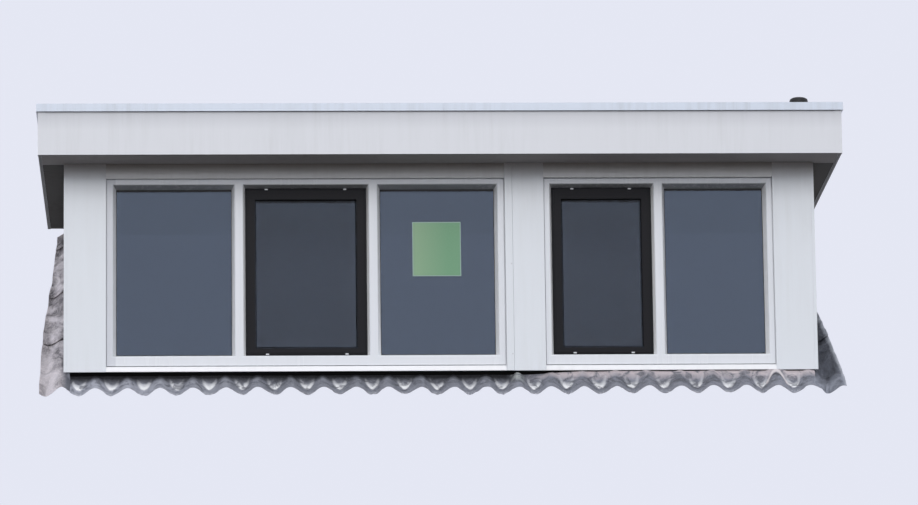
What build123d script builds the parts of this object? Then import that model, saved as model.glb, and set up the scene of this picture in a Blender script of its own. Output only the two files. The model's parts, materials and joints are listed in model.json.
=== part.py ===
from build123d import *
import math
import os

# A flat roofed box dormer with its front window wall, in millimetres.
# X runs along the front, Y from the street into the roof, Z up.
# The origin is the middle of the underside of the sole beam.

# Front wall, from its left corner to its right corner
left_panel_width = 265.0
first_light_width = 735.0
second_light_width = 763.0
third_light_width = 730.0
cover_strip_width = 50.0
middle_leg_width = 200.0
fourth_light_width = 629.0
fifth_light_width = 630.0
right_leg_width = 263.0
light_height = 1076.0
head_panel_height = 94.0
panel_thickness = 20.0
filler_thickness = 12.0
cover_strip_thickness = 24.0
sill_strip_height = 37.0
sill_strip_fall = 3.0
sill_strip_lean = 7.0
sill_strip_ease = 2.0
cover_strip_ease = 2.0
corner_trim_width = 20.0
corner_trim_thickness = 2.0
fascia_corner_width = 44.0
frame_lap = 19.0

# Timber structure
sole_depth = 117.0
sole_height = 80.0
stud_depth = 89.0
stud_width = 38.0
stud_spacing = 400.0
lining_thickness = 12.0
joist_height = 200.0
joist_width = 63.0
joist_count = 12
deck_thickness = 18.0

# House roof that the dormer sits on
roof_angle = 35.0
tile_pitch = 205.4
tile_wave = 50.0
wave_steps = 16
valley_offset = -34.0
tile_gap_below_panel = 18.0

# Roof edge
front_overhang = 280.0
side_overhang = 158.0
soffit_thickness = 12.0
fascia_thickness = 20.0
fascia_drip = 4.0
roof_edge_height = 330.0
kerb_width = 45.0
membrane_thickness = 4.0
trim_height = 50.0
trim_standoff = 13.0
trim_thickness = 3.0
trim_return = 12.0
trim_drip = 5.0
trim_joint_gap = 2.0
trim_joint_offset = 15.0

# Window frames
frame_depth = 115.0
flange_setback = 8.0
flange_reveal = 5.0
left_unit_side_face = 41.0
right_unit_side_face = 36.0
top_face = 34.0
bottom_face = 63.0
mullion_face = 47.0
lip_width = 22.0
lip_depth = 80.0
lip_edge_round = 5.0
glass_thickness = 24.0
glass_cover = 14.0
glass_clearance = 5.0
bead_cover = 18.0

# Opening lights
screen_setback = 56.0
screen_thickness = 12.0
screen_bar = 48.0
screen_head_bar = 57.0
screen_foot_bar = 33.0
screen_flange = 14.0
screen_flange_thickness = 6.0
screen_clearance = 1.0
mesh_thickness = 1.0
stop_width = 16.0
sash_depth = 62.0
sash_bar = 61.0
sash_foot_bar = 47.0
sash_clearance = 6.0
sash_overlap = 14.0
sash_glass_setback = 14.0

# Lead flashings
lead_thickness = 3.0
apron_reach = 160.0
apron_fold = 90.0
apron_joints = [-1334.0, -107.0, 1130.0]
lead_upstand = 110.0
left_lead_width = 155.0
right_lead_width = 165.0
lead_seam = 0.5
foot_seal_depth = 10.0
foot_seal_clearance = 0.3

# Roof vent
vent_from_right = 201.0
vent_from_front = 590.0
vent_pipe_radius = 40.0
vent_cap_radius = 60.0
vent_height = 262.0
vent_cap_height = 34.0
vent_flange_radius = 110.0
vent_flange_thickness = 5.0
vent_cone_height = 34.0
vent_dome_height = 16.0

# Places that follow from the sizes above
slope = math.tan(math.radians(roof_angle))
left_unit_edge = left_unit_side_face + lip_width
right_unit_edge = right_unit_side_face + lip_width
mullion_pitch = mullion_face + 2 * lip_width
left_lights = first_light_width + second_light_width + third_light_width
left_opening_width = left_lights + 2 * mullion_pitch + 2 * left_unit_edge
right_lights = fourth_light_width + fifth_light_width
right_opening_width = right_lights + mullion_pitch + 2 * right_unit_edge
opening_head_height = sill_strip_height + bottom_face + light_height + top_face + 2 * lip_width
panel_height = opening_head_height + head_panel_height
outer_panels = left_panel_width + middle_leg_width + right_leg_width
front_width = outer_panels + left_opening_width + cover_strip_width + right_opening_width
half_front = front_width / 2
half_frame = half_front - panel_thickness
wall_back = sole_depth / 2
wall_front = -wall_back - lead_thickness
panel_front = wall_front - panel_thickness
panel_foot = sole_height + frame_lap - sill_strip_height
soffit_foot = panel_foot + panel_height
joist_foot = soffit_foot + soffit_thickness
deck_foot = joist_foot + joist_height
deck_top = deck_foot + deck_thickness
fascia_front = panel_front - front_overhang
fascia_back = fascia_front + fascia_thickness
fascia_side = half_front + side_overhang
joist_side = fascia_side - fascia_thickness
fascia_foot = soffit_foot - fascia_drip
trim_top = fascia_foot + roof_edge_height
kerb_top = trim_top - trim_thickness
trim_top_width = trim_standoff + fascia_thickness + kerb_width + trim_thickness
frame_foot = sole_height
frame_top = panel_foot + opening_head_height + frame_lap
tile_rise = panel_foot - wall_front * slope + wall_back * slope
crest_rise = tile_rise - tile_gap_below_panel
roof_back = wall_back + (trim_top + joist_height) / slope

# How far a cutting shape runs past what it cuts
margin = 1.0

left_opening = (-half_front + left_panel_width, -half_front + left_panel_width + left_opening_width)
right_opening_start = left_opening[1] + cover_strip_width + middle_leg_width
right_opening = (right_opening_start, right_opening_start + right_opening_width)
left_frame_span = (left_opening[0] - frame_lap, left_opening[1] + frame_lap)
right_frame_span = (right_opening[0] - frame_lap, right_opening[1] + frame_lap)


def block(x, y, z):
    """A box between two corners, each axis given as a pair."""
    size = (x[1] - x[0], y[1] - y[0], z[1] - z[0])
    middle = ((x[0] + x[1]) / 2, (y[0] + y[1]) / 2, (z[0] + z[1]) / 2)
    return Pos(*middle) * Box(*size)


def side_plate(points, x):
    """A plate drawn in the YZ plane and stretched along X."""
    plane = Plane(origin=(x[0], 0, 0), x_dir=(0, 1, 0), z_dir=(1, 0, 0))
    return extrude(plane * make_face(Polyline(*points, close=True)), x[1] - x[0])


def grown(span, by):
    """A pair of places, each moved outwards."""
    return (span[0] - by, span[1] + by)


def mirrored(part):
    return mirror(part, about=Plane.YZ)


def save(name, part):
    export_step(part, "parts/" + name + ".step")


def rafter_z(y):
    """Height of the top of the house's rafters."""
    return (y - wall_back) * slope


def roof_cutter():
    """The house roof: rafters inside the cheeks, tiles outside them."""
    deep = -2 * trim_top
    inside = [(wall_back, deep), (wall_back, 0), (roof_back, rafter_z(roof_back)), (roof_back, deep)]
    outside = [(wall_back, deep), (wall_back, tile_rise)]
    outside += [(roof_back, rafter_z(roof_back) + tile_rise), (roof_back, deep)]
    reach = fascia_side + 2 * trim_standoff
    return [
        side_plate(inside, (-half_frame, half_frame)),
        side_plate(outside, (-reach, -half_frame)),
        side_plate(outside, (half_frame, reach)),
    ]


def cut_to_roof(part):
    for cutter in roof_cutter():
        part = part - cutter
    return part


# Front structure: sole beam, head beam and posts.

def sole_beam():
    return block((-half_frame, half_frame), (-wall_back, wall_back), (0, sole_height))


def head_beam():
    return block((-half_frame, half_frame), (wall_front, wall_back), (frame_top, joist_foot))


def post(x):
    return block(x, (wall_front, wall_back), (sole_height, frame_top))


# Cheeks: a stud wall, an outer cladding and an inner lining each.

def cheek_outline(foot_rise, top, front):
    """A cheek's side view, from the front wall back to where it meets the roof."""
    back = wall_back + (top - foot_rise) / slope
    return [(front, rafter_z(front) + foot_rise), (front, top), (back, top)]


def cheek_frame():
    outline = cheek_outline(0, joist_foot, wall_back)
    x = (-half_frame, -half_frame + stud_depth)
    outer = make_face(Polyline(*outline, close=True))
    inner = offset(outer, -stud_width)
    bay = stud_spacing - stud_width
    pockets = []
    start = wall_back + stud_width
    while start < outline[2][0]:
        column = Pos(start + bay / 2, joist_foot / 2) * Rectangle(bay, joist_foot)
        pockets.append(inner & column)
        start = start + stud_spacing
    plane = Plane(origin=(x[0], 0, 0), x_dir=(0, 1, 0), z_dir=(1, 0, 0))
    frame = extrude(plane * outer, stud_depth)
    for pocket in pockets:
        for face in pocket.faces():
            frame = frame - extrude(plane * face, stud_depth)
    return frame


def cheek_cladding():
    outline = cheek_outline(tile_rise, soffit_foot, wall_front)
    return side_plate(outline, (-half_front, -half_frame - lead_thickness))


def cheek_lining():
    outline = cheek_outline(0, soffit_foot, wall_back)
    inner = -half_frame + stud_depth
    return side_plate(outline, (inner, inner + lining_thickness))


def ceiling_panel():
    reach = half_frame - stud_depth
    back = roof_back
    return cut_to_roof(block((-reach, reach), (wall_back, back), (soffit_foot, joist_foot)))


# Flat roof: joists, deck, membrane, kerb and vent.

def roof_joists():
    spacing = (2 * joist_side - joist_width) / (joist_count - 1)
    joists = []
    for index in range(joist_count):
        start = -joist_side + index * spacing
        joist = block((start, start + joist_width), (fascia_back, roof_back), (joist_foot, deck_foot))
        joists.append(cut_to_roof(joist))
    return Compound([solid for joist in joists for solid in joist.solids()])


def roof_deck():
    return cut_to_roof(block((-joist_side, joist_side), (fascia_back, roof_back), (deck_foot, deck_top)))


def roof_kerb():
    outer = block((-joist_side, joist_side), (fascia_back, roof_back), (deck_top, kerb_top))
    inside = joist_side - kerb_width
    depth = (fascia_back + kerb_width, roof_back + margin)
    inner = block((-inside, inside), depth, (deck_top - margin, kerb_top + margin))
    return cut_to_roof(outer - inner)


def roof_membrane():
    inside = joist_side - kerb_width
    front = fascia_back + kerb_width
    upturn = kerb_top - trim_return
    tray = block((-inside, inside), (front, roof_back), (deck_top, upturn))
    hollow = inside - membrane_thickness
    pocket = block(
        (-hollow, hollow),
        (front + membrane_thickness, roof_back + margin),
        (deck_top + membrane_thickness, upturn + margin),
    )
    return cut_to_roof(tray - pocket)


def roof_vent():
    """A vent pipe with a mushroom cap, turned round its own axis."""
    foot = deck_top + membrane_thickness
    top = foot + vent_height
    collar = top - vent_cap_height
    dome_foot = top - vent_dome_height
    crown = vent_cap_radius - vent_dome_height
    with BuildPart() as vent:
        with BuildSketch(Plane.XZ):
            with BuildLine():
                Polyline(
                    (0, foot), (vent_flange_radius, foot), (vent_flange_radius, foot + vent_flange_thickness),
                    (vent_pipe_radius, foot + vent_cone_height), (vent_pipe_radius, collar),
                    (vent_cap_radius, collar), (vent_cap_radius, dome_foot), (crown, top), (0, top),
                    close=True,
                )
            make_face()
        revolve(axis=Axis.Z)
    return Pos(fascia_side - vent_from_right, fascia_front + vent_from_front, 0) * vent.part


# Roof edge: soffits, fascias and the metal edge trim.

def soffit_front():
    return block((-joist_side, joist_side), (fascia_back, wall_front), (soffit_foot, joist_foot))


def soffit_side():
    return cut_to_roof(block((-joist_side, -half_frame), (wall_front, roof_back), (soffit_foot, joist_foot)))


def fascia_front_board():
    return block((-fascia_side, fascia_side), (fascia_front, fascia_back), (fascia_foot, kerb_top))


def fascia_side_board():
    return cut_to_roof(block((-fascia_side, -joist_side), (fascia_back, roof_back), (fascia_foot, kerb_top)))


def trim_section():
    """Roof edge trim: a face leg with a drip, a top leg and a return, from the fascia's face."""
    face = trim_standoff
    foot = trim_top - trim_height
    inner = face - trim_thickness
    drip = inner - trim_drip
    back = -trim_top_width + trim_standoff
    return [
        (face, foot), (face, trim_top), (back, trim_top), (back, kerb_top - trim_return),
        (back + trim_thickness, kerb_top - trim_return), (back + trim_thickness, kerb_top),
        (inner, kerb_top), (inner, foot + trim_thickness), (drip, foot + trim_thickness), (drip, foot),
    ]


def mitre_wedge(points):
    foot = trim_top - trim_height - margin
    return Pos(0, 0, foot) * extrude(make_face(Polyline(*points, close=True)), trim_height + 2 * margin)


def edge_trims():
    """Front and side trims, mitred at the two corners."""
    section = [(fascia_front - out, z) for out, z in trim_section()]
    reach = fascia_side + trim_standoff
    front = side_plate(section, (-reach, reach))
    corner = fascia_front - trim_standoff
    side_section = [(-fascia_side - out, z) for out, z in trim_section()]
    end = Plane(origin=(0, corner, 0), x_dir=(1, 0, 0), z_dir=(0, -1, 0))
    side = extrude(end * make_face(Polyline(*side_section, close=True)), corner - roof_back)
    long = 2 * trim_top_width
    near = (-reach, corner)
    far = (-reach + long, corner + long)
    behind = mitre_wedge([near, far, (-reach, corner + long)])
    ahead = mitre_wedge([near, far, (-reach + long, corner)])
    joint = (trim_joint_offset - trim_joint_gap / 2, trim_joint_offset + trim_joint_gap / 2)
    gap = block(joint, (corner - margin, corner + trim_top_width + margin), (fascia_foot, trim_top + margin))
    return front - behind - mirrored(behind) - gap, cut_to_roof(side - ahead)


# Front cladding.

def left_corner_panel():
    return block((-half_front, left_opening[0]), (panel_front, wall_front), (panel_foot, soffit_foot))


def left_head_panel():
    foot = panel_foot + opening_head_height
    return block(left_opening, (wall_front - filler_thickness, wall_front), (foot, soffit_foot))


def cover_strip():
    """Narrow strip between the two units, with eased front edges."""
    x = (left_opening[1], left_opening[1] + cover_strip_width)
    front = wall_front - cover_strip_thickness
    strip = block(x, (front, wall_front), (panel_foot, soffit_foot))
    edges = strip.edges().filter_by(Axis.Z).group_by(Axis.Y)[0]
    return chamfer(edges, cover_strip_ease)


def middle_leg_panel():
    start = left_opening[1] + cover_strip_width
    return block((start, right_opening[0]), (panel_front, wall_front), (panel_foot, soffit_foot))


def right_corner_panel():
    return block((right_opening[1], half_front), (panel_front, wall_front), (panel_foot, soffit_foot))


def right_head_panel():
    foot = panel_foot + opening_head_height
    return block(right_opening, (panel_front, wall_front), (foot, soffit_foot))


def corner_angle(corner, width, z):
    """A folded angle over an upright left corner, given as its (x, y)."""
    outer = corner[0] - corner_trim_thickness
    front = corner[1] - corner_trim_thickness
    angle = block((outer, outer + width), (front, front + width), z)
    inside = block((corner[0], 0), (corner[1], corner[1] + width), grown(z, margin))
    return angle - inside


def corner_pair(angle):
    return Compound([angle.solid(), mirrored(angle).solid()])


def corner_trims():
    z = (panel_foot, soffit_foot)
    return corner_pair(corner_angle((-half_front, panel_front), corner_trim_width, z))


def fascia_corners():
    z = (fascia_foot, kerb_top)
    return corner_pair(corner_angle((-fascia_side, fascia_front), fascia_corner_width, z))


def sill_strip(x):
    """Strip under a frame, with a sloping top, a face that leans back and a drip nose."""
    top = panel_foot + sill_strip_height
    section = [
        (wall_front, panel_foot), (wall_front, top), (panel_front + sill_strip_lean, top - sill_strip_fall),
        (panel_front, panel_foot + sill_strip_ease), (panel_front + sill_strip_ease, panel_foot),
    ]
    return side_plate(section, x)


# Window units. A light is its clear opening at the lip: (x span, z span).

light_foot = frame_foot + frame_lap + bottom_face + lip_width
light_z = (light_foot, light_foot + light_height)
first_start = left_opening[0] + left_unit_edge
first_light = (first_start, first_start + first_light_width)
second_start = first_light[1] + mullion_pitch
second_light = (second_start, second_start + second_light_width)
third_start = second_light[1] + mullion_pitch
third_light = (third_start, third_start + third_light_width)
fourth_start = right_opening[0] + right_unit_edge
fourth_light = (fourth_start, fourth_start + fourth_light_width)
fifth_start = fourth_light[1] + mullion_pitch
fifth_light = (fifth_start, fifth_start + fifth_light_width)
screen_y = wall_front + screen_setback


def ring_face(x, z, y):
    plane = Plane(origin=((x[0] + x[1]) / 2, y, (z[0] + z[1]) / 2), x_dir=(1, 0, 0), z_dir=(0, 1, 0))
    return plane * Rectangle(x[1] - x[0], z[1] - z[0])


def funnel(x, z, front_inset, back_inset, y):
    """A pocket that narrows from the front towards the back."""
    front = ring_face(grown(x, front_inset), grown(z, front_inset), y[0])
    back = ring_face(grown(x, back_inset), grown(z, back_inset), y[1])
    return loft([front.face(), back.face()], ruled=True)


def lip_pocket(x, z, depth):
    """The moulded reveal round a light: a rounded front edge, then a sloping lip."""
    shoulder = lip_width - lip_edge_round
    edge = wall_front + lip_edge_round
    rounded = funnel(x, z, lip_width, shoulder, (wall_front, edge))
    share = shoulder * (1 - (depth - lip_edge_round) / (lip_depth - lip_edge_round))
    return rounded + funnel(x, z, shoulder, share, (edge, wall_front + depth))


def frame_bars(span):
    """The solid bars of one unit, with the set back flange round its edge."""
    z = (frame_foot, frame_top)
    bars = block(span, (wall_front, wall_front + frame_depth), z)
    edge = frame_lap + flange_reveal
    step = (wall_front - margin, wall_front + flange_setback)
    face = block(grown(span, -edge), step, grown(z, -edge))
    rim = block(grown(span, margin), step, grown(z, margin))
    return bars - (rim - face)


def fixed_light(x):
    """Reveal, clear opening and glazing rebate of a fixed light."""
    rebate = glass_cover + glass_clearance
    back = wall_front + frame_depth + margin
    return lip_pocket(x, light_z, lip_depth) + block(
        grown(x, rebate), (wall_front + lip_depth, back), grown(light_z, rebate)
    )


def opening_light(x):
    """Reveal, screen rebate, stop and sash rebate of an opening light."""
    share = lip_at(screen_setback)
    screen = grown(x, share)
    screen_height = grown(light_z, share)
    stop_front = screen_y + screen_thickness
    stop_back = wall_front + lip_depth
    seat = block(screen, (screen_y - margin, stop_front), screen_height)
    daylight = (stop_front - margin, stop_back + margin)
    clear = block(grown(screen, -stop_width), daylight, grown(screen_height, -stop_width))
    sash_seat = block(screen, (stop_back, wall_front + frame_depth + margin), screen_height)
    return lip_pocket(x, light_z, screen_setback) + seat + clear + sash_seat


def lip_at(depth):
    """How far the lip still stands back from its inner edge at a depth."""
    return (lip_width - lip_edge_round) * (1 - (depth - lip_edge_round) / (lip_depth - lip_edge_round))


def left_window_frame():
    frame = frame_bars(left_frame_span)
    return frame - fixed_light(first_light) - opening_light(second_light) - fixed_light(third_light)


def right_window_frame():
    return frame_bars(right_frame_span) - opening_light(fourth_light) - fixed_light(fifth_light)


def fixed_glass(x):
    y = wall_front + lip_depth
    return block(grown(x, glass_cover), (y, y + glass_thickness), grown(light_z, glass_cover))


def glazing_bead(x):
    """The bead that holds a fixed pane from inside, with a sloping inner edge."""
    rebate = glass_cover + glass_clearance
    front = wall_front + lip_depth + glass_thickness
    back = wall_front + frame_depth
    bead = block(grown(x, rebate), (front, back), grown(light_z, rebate))
    inset = rebate - bead_cover
    return bead - funnel(x, light_z, inset, inset + (back - front) / 2, (front, back))


def sash_spans(x):
    """Outer span of a sash and its screen's seat, across and up."""
    share = lip_at(screen_setback)
    return grown(x, share), grown(light_z, share)


def sash_daylight(x):
    """The clear opening inside a sash's bars, whose foot bar is lower than the others."""
    wide, high = sash_spans(x)
    return grown(wide, -sash_bar), (high[0] + sash_foot_bar, high[1] - sash_bar)


def sash(x):
    """An inward opening sash: its body sits in the frame, its flange laps the frame's inner face."""
    wide, high = sash_spans(x)
    front = wall_front + lip_depth
    inner_face = wall_front + frame_depth
    back = front + sash_depth
    body = block(grown(wide, -sash_clearance), (front, back), grown(high, -sash_clearance))
    flange = block(grown(wide, sash_overlap), (inner_face, back), grown(high, sash_overlap))
    daylight, daylight_high = sash_daylight(x)
    rebate = glass_cover + glass_clearance
    glass_front = front + sash_glass_setback
    hole = funnel(daylight, daylight_high, sash_glass_setback / 2, 0, (front, glass_front))
    rest = block(grown(daylight, rebate), (glass_front, back + margin), grown(daylight_high, rebate))
    return body + flange - hole - rest


def sash_glass(x):
    daylight, daylight_high = sash_daylight(x)
    front = wall_front + lip_depth + sash_glass_setback
    high = grown(daylight_high, glass_cover)
    return block(grown(daylight, glass_cover), (front, front + glass_thickness), high)


def sash_bead(x):
    daylight, daylight_high = sash_daylight(x)
    front = wall_front + lip_depth + sash_glass_setback + glass_thickness
    back = wall_front + lip_depth + sash_depth
    rebate = glass_cover + glass_clearance
    inset = rebate - bead_cover
    bead = block(grown(daylight, rebate), (front, back), grown(daylight_high, rebate))
    return bead - funnel(daylight, daylight_high, inset, inset + bead_cover / 2, (front, back))


def gauze_spans(x):
    """The clear opening inside a screen's bars, across and up."""
    wide, high = sash_spans(x)
    edge = screen_clearance + screen_flange
    foot = high[0] + edge + screen_foot_bar
    return grown(wide, -edge - screen_bar), (foot, high[1] - edge - screen_head_bar)


def screen_frame(x):
    """Insect screen frame: a flat bar with a thinner outer flange."""
    wide, high = sash_spans(x)
    wide = grown(wide, -screen_clearance)
    high = grown(high, -screen_clearance)
    front = screen_y
    back = front + screen_thickness
    flange = block(wide, (back - screen_flange_thickness, back), high)
    bar = block(grown(wide, -screen_flange), (front, back), grown(high, -screen_flange))
    gauze_wide, gauze_high = gauze_spans(x)
    return flange + bar - block(gauze_wide, (front - margin, back + margin), gauze_high)


def screen_mesh(x):
    wide, high = gauze_spans(x)
    middle = screen_y + screen_thickness / 2
    return block(wide, (middle, middle + mesh_thickness), high)


# Lead flashings. The sheet follows the tiles' waves, which run up the slope.

def wave_line(crest_z, x):
    """Points (x, z) of the tiles' wave between two places, from its cosine form."""
    step = tile_pitch / wave_steps
    first = math.ceil((x[0] - valley_offset) / step)
    last = math.floor((x[1] - valley_offset) / step)
    stations = [valley_offset + index * step for index in range(first, last + 1)]
    stations = [x[0]] + [place for place in stations if x[0] < place < x[1]] + [x[1]]
    points = []
    for place in stations:
        turn = 2 * math.pi * (place - valley_offset) / tile_pitch
        points.append((place, crest_z - tile_wave * (1 + math.cos(turn)) / 2))
    return points


def up_the_slope(outline, y):
    """A section given as (x, z) points, stretched up the roof's slope between two places."""
    fall = Vector(0, y[1] - y[0], (y[1] - y[0]) * slope)
    corners = [(across, y[0], up) for across, up in outline]
    return extrude(make_face(Polyline(*corners, close=True)), fall.length, dir=fall)


def lead_sheet(x, y_back):
    """The dressed sheet from a line across the slope down to its lower edge."""
    y_front = wall_front - apron_reach
    top = wave_line(rafter_z(y_front) + crest_rise, x)
    foot = [(across, up - lead_thickness) for across, up in reversed(top)]
    return up_the_slope(top + foot, (y_front, y_back))


apron_edge = half_frame - lead_seam
apron_crest = rafter_z(wall_front) + crest_rise


def under_wave(x):
    """The space below the wave's lower side, in front of the wall."""
    y_front = wall_front - apron_reach
    foot = wave_line(rafter_z(y_front) + crest_rise - lead_thickness, x)
    deep = foot[0][1] - 2 * tile_wave
    return up_the_slope(foot + [(x[1], deep), (x[0], deep)], (y_front, wall_front + margin))


def apron_length(x):
    """One length of the apron: flat below the wall, dressed into the tile waves further out."""
    y_fold = wall_front - apron_fold
    fold_z = apron_crest - apron_fold * slope - tile_wave
    flat_top = [(wall_front, apron_crest), (y_fold, fold_z)]
    flat_foot = [(y_fold, fold_z - lead_thickness), (wall_front, apron_crest - lead_thickness)]
    deep = fold_z - 2 * tile_wave
    under_flat = side_plate(flat_foot + [(wall_front + margin, deep), (y_fold, deep)], x)
    flat = side_plate(flat_top + flat_foot, x) - under_wave(x)
    upstand = (wall_front, wall_front + lead_thickness)
    foot = apron_crest - lead_thickness
    return (lead_sheet(x, wall_front) - under_flat) + flat + block(x, upstand, (foot, sole_height))


def lead_apron():
    """The sheets in front of the wall, in lengths, each with an upstand behind the panels."""
    starts = [-apron_edge] + [joint + lead_seam for joint in apron_joints]
    ends = [joint - lead_seam for joint in apron_joints] + [apron_edge]
    return Compound([apron_length(span).solid() for span in zip(starts, ends)])


def foot_seal():
    """The foam strip that closes the gap between the apron and the panels' feet."""
    front = wall_front - foot_seal_depth
    foot = apron_crest + foot_seal_clearance
    section = [
        (wall_front, foot), (wall_front, panel_foot), (front, panel_foot), (front, foot - foot_seal_depth * slope),
    ]
    return side_plate(section, (-apron_edge, apron_edge))


def side_lead(x_outer, x_inner):
    back = wall_back + (soffit_foot - tile_rise) / slope
    x = (min(x_outer, x_inner), max(x_outer, x_inner))
    sheet = lead_sheet(x, back)
    side = 1 if x_inner > 0 else -1
    legs = (x_inner, x_inner + side * lead_thickness)
    foot = crest_rise - tile_wave
    top = crest_rise + lead_upstand
    end = wall_back + (soffit_foot - top) / slope
    leg = [
        (wall_front, rafter_z(wall_front) + foot), (wall_front, rafter_z(wall_front) + top),
        (end, soffit_foot), (back, soffit_foot), (back, rafter_z(back) + foot),
    ]
    return sheet + side_plate(leg, (min(legs), max(legs)))


os.makedirs("parts", exist_ok=True)

save("sole_beam", sole_beam())
save("head_beam", head_beam())
save("left_post", post((-half_frame, left_frame_span[0])))
save("middle_post", post((left_frame_span[1], right_frame_span[0])))
save("right_post", post((right_frame_span[1], half_frame)))
save("left_cheek_frame", cheek_frame())
save("right_cheek_frame", mirrored(cheek_frame()))
save("left_cheek_cladding", cheek_cladding())
save("right_cheek_cladding", mirrored(cheek_cladding()))
save("left_cheek_lining", cheek_lining())
save("right_cheek_lining", mirrored(cheek_lining()))
save("ceiling_panel", ceiling_panel())
save("roof_joists", roof_joists())
save("roof_deck", roof_deck())
save("roof_kerb", roof_kerb())
save("roof_membrane", roof_membrane())
save("roof_vent", roof_vent())
save("soffit_front", soffit_front())
save("soffit_left", soffit_side())
save("soffit_right", mirrored(soffit_side()))
save("fascia_front", fascia_front_board())
save("fascia_left", fascia_side_board())
save("fascia_right", mirrored(fascia_side_board()))
front_trim, side_trim = edge_trims()
save("edge_trim_front", front_trim)
save("edge_trim_left", side_trim)
save("edge_trim_right", mirrored(side_trim))
save("left_corner_panel", left_corner_panel())
save("left_head_panel", left_head_panel())
save("cover_strip", cover_strip())
save("middle_leg_panel", middle_leg_panel())
save("right_head_panel", right_head_panel())
save("right_corner_panel", right_corner_panel())
save("corner_trims", corner_trims())
save("fascia_corners", fascia_corners())
save("left_sill_strip", sill_strip(left_opening))
save("right_sill_strip", sill_strip(right_opening))
save("left_window_frame", left_window_frame())
save("right_window_frame", right_window_frame())
save("first_glass", fixed_glass(first_light))
save("third_glass", fixed_glass(third_light))
save("fifth_glass", fixed_glass(fifth_light))
save("left_glazing_beads", glazing_bead(first_light) + glazing_bead(third_light) + sash_bead(second_light))
save("right_glazing_beads", glazing_bead(fifth_light) + sash_bead(fourth_light))
save("left_sash", sash(second_light))
save("right_sash", sash(fourth_light))
save("second_glass", sash_glass(second_light))
save("fourth_glass", sash_glass(fourth_light))
save("left_screen_frame", screen_frame(second_light))
save("right_screen_frame", screen_frame(fourth_light))
save("left_screen_mesh", screen_mesh(second_light))
save("right_screen_mesh", screen_mesh(fourth_light))
save("lead_apron", lead_apron())
save("foot_seal", foot_seal())
save("left_lead", side_lead(-half_front - left_lead_width, -half_frame))
save("right_lead", side_lead(half_front + right_lead_width, half_frame))
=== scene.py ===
import json
import math

import bmesh
import bpy
from mathutils import Matrix, Vector, noise

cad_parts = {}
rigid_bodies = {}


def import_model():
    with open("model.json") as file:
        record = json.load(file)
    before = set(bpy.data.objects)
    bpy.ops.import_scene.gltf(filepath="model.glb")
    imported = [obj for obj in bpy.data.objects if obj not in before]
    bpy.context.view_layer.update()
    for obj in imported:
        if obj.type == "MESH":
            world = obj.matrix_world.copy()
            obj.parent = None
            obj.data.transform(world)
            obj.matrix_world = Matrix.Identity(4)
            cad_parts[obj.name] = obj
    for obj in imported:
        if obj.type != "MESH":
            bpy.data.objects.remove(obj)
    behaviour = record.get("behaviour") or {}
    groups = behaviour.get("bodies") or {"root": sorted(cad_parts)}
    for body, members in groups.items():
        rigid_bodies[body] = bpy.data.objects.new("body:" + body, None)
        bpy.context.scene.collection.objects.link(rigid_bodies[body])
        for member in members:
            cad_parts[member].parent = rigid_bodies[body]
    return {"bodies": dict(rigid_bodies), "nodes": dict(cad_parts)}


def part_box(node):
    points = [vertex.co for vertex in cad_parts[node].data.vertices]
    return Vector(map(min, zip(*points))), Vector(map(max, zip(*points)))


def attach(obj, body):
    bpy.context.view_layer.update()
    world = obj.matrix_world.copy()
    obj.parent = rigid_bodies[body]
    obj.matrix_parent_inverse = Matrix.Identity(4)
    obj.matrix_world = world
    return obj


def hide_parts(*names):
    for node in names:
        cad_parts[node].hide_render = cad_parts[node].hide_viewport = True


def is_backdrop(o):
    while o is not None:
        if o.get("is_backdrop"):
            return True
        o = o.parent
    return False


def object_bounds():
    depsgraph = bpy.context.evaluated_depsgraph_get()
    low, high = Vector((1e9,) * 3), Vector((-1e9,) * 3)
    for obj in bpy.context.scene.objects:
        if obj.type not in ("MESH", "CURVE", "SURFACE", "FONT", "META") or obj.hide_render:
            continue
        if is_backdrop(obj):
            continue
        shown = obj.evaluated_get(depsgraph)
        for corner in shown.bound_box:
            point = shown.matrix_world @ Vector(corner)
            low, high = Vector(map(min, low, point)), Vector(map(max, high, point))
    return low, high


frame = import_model()
cad_low, cad_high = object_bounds()

# A flat roofed box dormer, in metres. X runs along the front, Y into the roof, Z up.

# Timber structure: the sole and head beam, posts, joists, kerb and cheek studs.
# Planed softwood, nailed together. The grain runs along each member, and the cut
# ends on the roof slope show it end on.

body = next(iter(frame["bodies"]))


def surface(name):
    """A new material with its node tree and its Principled shader."""
    material = bpy.data.materials.new(name)
    material.use_nodes = True
    tree = material.node_tree
    return material, tree, tree.nodes["Principled BSDF"]


def plug(tree, node, values):
    """Links sockets to a node's inputs, and sets the inputs that have plain values."""
    for label, value in values.items():
        socket = node.inputs[label]
        if isinstance(value, bpy.types.NodeSocket):
            tree.links.new(value, socket)
        else:
            socket.default_value = value


def add(tree, kind, values, **settings):
    """A new shader node with its settings and its inputs."""
    node = tree.nodes.new("ShaderNode" + kind)
    for label, value in settings.items():
        setattr(node, label, value)
    plug(tree, node, values)
    return node


def mixed(tree, factor, first, second, blend="MIX"):
    """A colour between two colours."""
    node = add(tree, "Mix", {}, data_type="RGBA", blend_type=blend)
    plug(tree, node, {0: factor, 6: first, 7: second})
    return node.outputs[2]


def ranged(tree, value, low, high, start, end):
    """A value taken from one range to another and kept inside it."""
    spread = {"Value": value, "From Min": low, "From Max": high, "To Min": start, "To Max": end}
    return add(tree, "MapRange", spread).outputs["Result"]


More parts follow.
